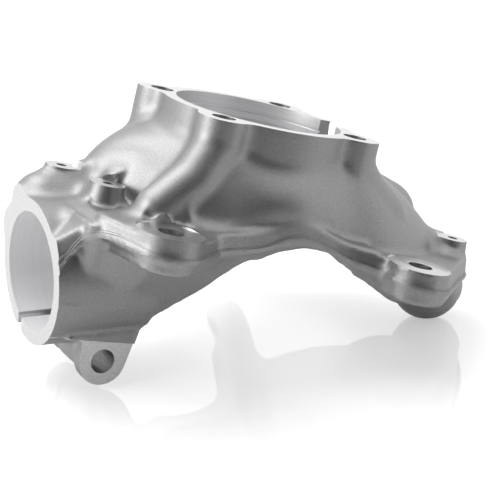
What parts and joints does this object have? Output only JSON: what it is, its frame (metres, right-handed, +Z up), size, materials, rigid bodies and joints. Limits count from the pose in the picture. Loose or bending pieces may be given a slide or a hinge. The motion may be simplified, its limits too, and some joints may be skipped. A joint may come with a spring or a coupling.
{
  "type": "steering knuckle",
  "caption": "Cast aluminium steering knuckle with bored hub seat, strut clamp with pinch lugs, brake ears, shield bosses and ball joint arm.",
  "frame": {"origin": "centre of the wheel bearing seat in the plane of the hub face", "axes": "the casting lies as it rests in the picture: +Z up, strut clamp towards -X, lower arm towards +X, caliper ears towards -Y, hub axis leaning 15 degrees from +Z towards +X"},
  "size_m": [0.2519, 0.2064, 0.1426],
  "materials": {
    "cast_aluminium": "satin as-cast skin with bright machined faces and bores"
  },
  "bodies": {
    "root": {"knuckle": "cast_aluminium"}
  },
  "joints": []
}
